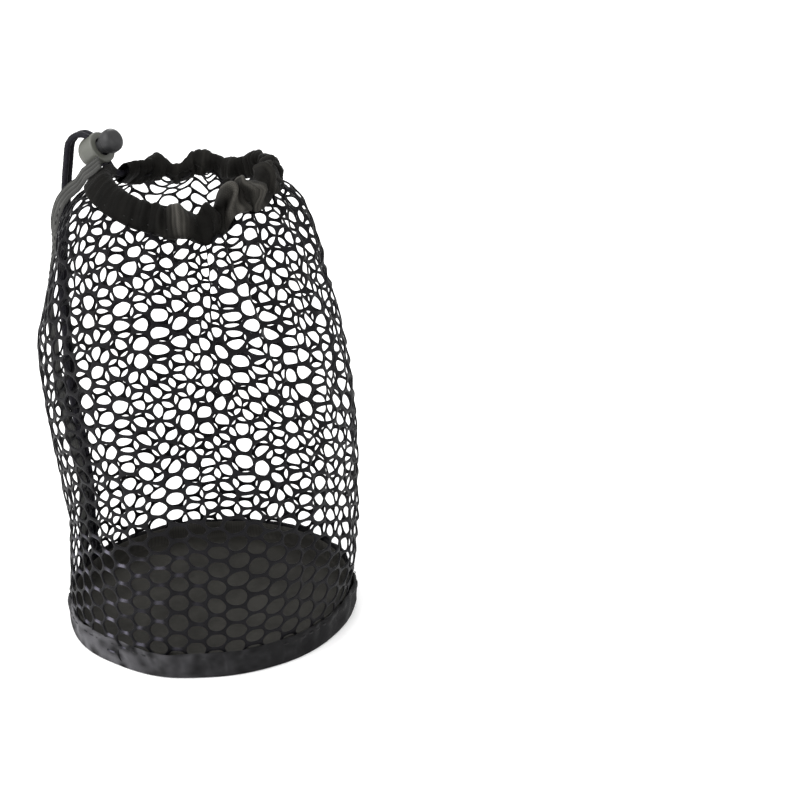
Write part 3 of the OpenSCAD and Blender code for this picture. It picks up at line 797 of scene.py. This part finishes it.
def cell_bars(x, y):
    """1 on the bars of a honeycomb of the netting's size and 0 in its cells."""
    u, v = x / col_w, y / ROW_PITCH
    best, second = np.full(np.shape(u), 9.0), np.full(np.shape(u), 9.0)
    for shift in (0.0, 1.0):
        base = np.round((u - shift) / 2) * 2 + shift
        for du in (-2, 0, 2):
            c = base + du
            w = np.round(v - 0.5 * shift) + 0.5 * shift
            for dv in (-1, 0, 1):
                d = np.hypot((u - c) * 1.15, (v - (w + dv)))
                second = np.minimum(second, np.maximum(best, d))
                best = np.minimum(best, d)
    return 1 - smooth(second - best, 0.05, 0.28)


warp = 5.0 * lumps(q, 15.0, 51.0)
net_bars = cell_bars(np.radians(A - NET_FROM) * NET_R + warp, Z * 1.1 + 2.0 + 0.8 * warp)
net_bars = net_bars * smooth(Z, 1, 3) * outer_side * smooth(lumps(q, 13.0, 71.0), -0.35, 0.25)
facing = 0.35 + 0.65 * bell(A, 235, 60)
bulge = outer_side * (0.16 * pucker + 1.9 * lumps(q, 8.0, 2.2) + 1.5 * lumps(q, 21.0, 8.8))
bulge = bulge + 0.45 * net_bars * facing
R2 = R + (base_wave(A) + bulge) * smooth(R, 62.6, 69) * (0.4 + 0.6 * smooth(Z, 0, 5))
pts = polar(R2, A, Z + smooth(Z, 8, 13) * 0.5 * lumps(q * [1, 1, 0], 16.0, 6.1))
# painted light and shade on the binding: lighter and mottled at the left and front, where the key lamp falls,
# the netting's bars lighter most where they face that lamp, and darker at the right
painted_light_patch = (6.0 * bell(A, 211, 36) * smooth(lumps(q, 7.0, 31.0), -0.45, 0.3) + 0.7 * net_bars * facing
         + 2.2 * bell(A, 230, 45) * lumps(q, 4.2, 61.0) - 0.5 * bell(A, 305, 45))
along = np.cumsum(np.hypot(*np.diff(section, axis=0, prepend=section[:1]).T))
wv = np.stack([np.radians(A) * BASE_R, along[K], painted_light_patch], -1)
faces = [f[::-1] for f in grid_faces(len(ba), len(section), True, True)]
binding = piece("base_binding_tape", pts.reshape(-1, 3), faces, "binding", cad=("base_binding",),
                slot="binding_tape", wv=wv.reshape(-1, 3))
modify(binding, levels=1)


def band_at(a_, z_, lift):
    """A point over the binding's outer face."""
    r_ = BASE_R + base_wave(a_) * 0.9 + lift
    return np.array([r_ * math.cos(math.radians(a_)), r_ * math.sin(math.radians(a_)), z_])


HEM_Z, HEM_PITCH, HEM_STITCH = 10.6, 4.0, 2.3  # height in mm, and two angles
segs = [on_surface(band_at, (q, HEM_Z), (q + HEM_STITCH, HEM_Z), 0.25)
        for q in np.arange(0, 360, HEM_PITCH) if abs(q + 1 - LOOP_A) > 7]
threads("hem_stitching", segs, 0.5, cad=("base_hem_stitches",))


def disc(name, profile, cad, mat, slot):
    """A round cloth piece from a closed profile of [r, z]."""
    prof = np.array(profile, float)
    steps = 144
    A, K = np.meshgrid(np.arange(steps) * 360 / steps, np.arange(len(prof)), indexing="ij")
    pts = polar(prof[K, 0], A, prof[K, 1])
    faces = [f[::-1] for f in grid_faces(steps, len(prof), False, True)]
    o = piece(name, pts.reshape(-1, 3), faces, mat, cad=cad, slot=slot, wv=(pts * [1, 1, 0]).reshape(-1, 3))
    bm = bmesh.new()
    bm.from_mesh(o.data)
    bmesh.ops.remove_doubles(bm, verts=bm.verts, dist=1e-6)
    bmesh.ops.recalc_face_normals(bm, faces=bm.faces)
    bm.to_mesh(o.data)
    bm.free()
    return o


rr = np.linspace(0, 60, 16)
disc_low = [[x, 0.02] for x in rr] + [[61, 0.1], [62.2, 1.32], [64, 1.34], [66, 1.34], [68.3, 1.34]]
disc_high = [[68.3, 2.08], [66, 2.1], [64, 2.1], [61.8, 2.1], [60.8, 0.85]] + [[x, 0.8] for x in rr[::-1]]
panel = disc("base_outer_cloth", disc_low + disc_high, ("base_panel",), "panel", "base_fabric")
rr = np.linspace(0, 66, 18)
lin_low = [[x, 2.75] for x in rr] + [[67.2, 2.8], [67.6, 3.3], [67.62, 6], [67.6, 9], [67.55, 12]]
lin_high = [[66.95, 12], [66.95, 9], [66.9, 6], [66.7, 3.9], [66.2, 3.5]] + [[x, 3.45] for x in rr[::-1]]
lining = disc("base_lining_cloth", lin_low + lin_high, ("base_lining",), "lining", "lining_fabric")

# the tape loop that holds the end of the cord
LOOP_OUT, LOOP_HALF, LOOP_LOW, LOOP_HIGH, LOOP_T = 4.9, 4.4, 8.4, 13.0, 0.6
arch = np.radians(np.linspace(-90, 90, 15))
prof = [(math.cos(q) ** 0.6 * LOOP_OUT, math.sin(q) * LOOP_HALF) for q in arch]
path = [(0.25, -7.4), (0.3, -6.0)] + [(0.2 + max(0, x), y) for x, y in prof] + [(0.3, 6.0), (0.25, 7.4)]
fine_path = spline(path, np.linspace(0, len(path) - 1, 60))
heights = np.linspace(LOOP_LOW, LOOP_HIGH, 7)
r_, q = BASE_R + 0.25 + fine_path[:, :1], math.radians(LOOP_A) + fine_path[:, 1:] / BASE_R
P = np.stack(np.broadcast_arrays(r_ * np.cos(q), r_ * np.sin(q), heights), -1)
wv = np.stack(np.broadcast_arrays(np.arange(len(fine_path))[:, None] * 0.4, heights[None, :], 0.0), -1)
loop_piece = piece("cord_keeper_loop", P.reshape(-1, 3), grid_faces(*P.shape[:2]), "binding",
                   cad=("base_cord_loop",), slot="binding_tape", wv=wv.reshape(-1, 3))
modify(loop_piece, thick=LOOP_T)


# ---------------------------------------------------------------- casing stitches and bartack
SKIN_U, CASING_PITCH, CASING_STITCH = 0.905, 5.4, 3.2  # place in the section, and two angles
TACK_AT, TACK_HALF, TACK_PITCH = EXIT_A - EXIT_HALF - 3, 2.2, 0.65


def casing_skin(a_, u_, lift):
    """A point over the casing's skin."""
    p = casing_point(np.array(a_), np.array(u_))
    return p + lift * (casing_pt(a_, 1, 0) - casing_pt(a_, 0, 0))


def tack(x, y, lift):
    """A point over the casing beside the opening where the cord comes out."""
    return casing_pt(TACK_AT + x, CASING_T / 2 + 0.1 + lift, y)


segs = [on_surface(casing_skin, (q, SKIN_U), (q + CASING_STITCH, SKIN_U), 0.15)
        for q in np.arange(EXIT_A + EXIT_HALF + 16, EXIT_A - EXIT_HALF + 354, CASING_PITCH)]
threads("casing_stitching", segs, 0.5, cad=("casing_stitches",))
segs = [on_surface(tack, (-TACK_HALF, -2.6 + TACK_PITCH * k), (TACK_HALF, -2.35 + TACK_PITCH * k), 0.15)
        for k in range(9)]
threads("exit_bartack", segs, 0.5, cad=("exit_bartacks",))

# ---------------------------------------------------------------- rigid pieces keep their CAD shape
for node, mat in (("cord_lock_barrel", "barrel"), ("cord_lock_plunger", "plunger"),
                  ("base_stiffener", "board")):
    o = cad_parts[node]
    o.data.materials.clear()
    o.data.materials.append(MAT[mat])

# the spring is wound again as a finer wire
BORE_FLOOR, STEM_TIP, WIRE_D, COIL_R, COIL_TURNS, END_GAP = -7.6, -3.3, 0.6, 3.4, 2.5, 0.05
t = np.linspace(0, 1, 41)
along = BORE_FLOOR + WIRE_D / 2 + END_GAP + (STEM_TIP - BORE_FLOOR - WIRE_D - 2 * END_GAP) * t
coil = np.cos(TAU * COIL_TURNS * t)[:, None] * LOCK_Y + np.sin(TAU * COIL_TURNS * t)[:, None] * LOCK_H
spring, _, _ = braid("lock_spring_wire", LOCK_AT + along[:, None] * LOCK_L + COIL_R * coil, WIRE_D,
                     mat="steel", step=0.3, sides=10, plait=0, body="cord_lock", cad=("cord_lock_spring",),
                     slot="spring_steel")
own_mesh(spring)

# ---------------------------------------------------------------- floor and light
scene = bpy.context.scene
scene.view_settings.view_transform = "Standard"
bpy.ops.mesh.primitive_plane_add(size=8, location=(0, 0, 0))
floor = bpy.context.object
floor.name = "floor"
paper = bpy.data.materials.new("paper")
paper.use_nodes = True
# it gives off a little light, so that the floor stays white in the bag's shadow, as in the photograph
for key, value in (("Base Color", (0.93, 0.93, 0.93, 1)), ("Roughness", 0.9),
                   ("Emission Color", (1, 1, 1, 1)), ("Emission Strength", 0.15)):
    paper.node_tree.nodes["Principled BSDF"].inputs[key].default_value = value
floor.data.materials.append(paper)
world = bpy.data.worlds.new("studio")
scene.world = world
world.use_nodes = True
world.node_tree.nodes["Background"].inputs[0].default_value = (1, 1, 1, 1)
world.node_tree.nodes["Background"].inputs[1].default_value = 0.95


def lamp(name, at, target, size, power):
    """A round lamp that looks at the target."""
    data = bpy.data.lights.new(name, "AREA")
    data.shape, data.size, data.energy = "DISK", size, power
    o = bpy.data.objects.new(name, data)
    scene.collection.objects.link(o)
    o.location = at
    o.rotation_mode = "QUATERNION"
    o.rotation_quaternion = (Vector(target) - Vector(at)).to_track_quat("-Z", "Y")


lamp("key", (-0.75, -0.35, 0.85), (0, 0, 0.1), 1.5, 16)
lamp("fill", (0.9, -0.9, 0.8), (0, 0, 0.1), 0.8, 5)
lamp("back", (0.2, 1.0, 0.9), (0, 0, 0.15), 0.6, 6)
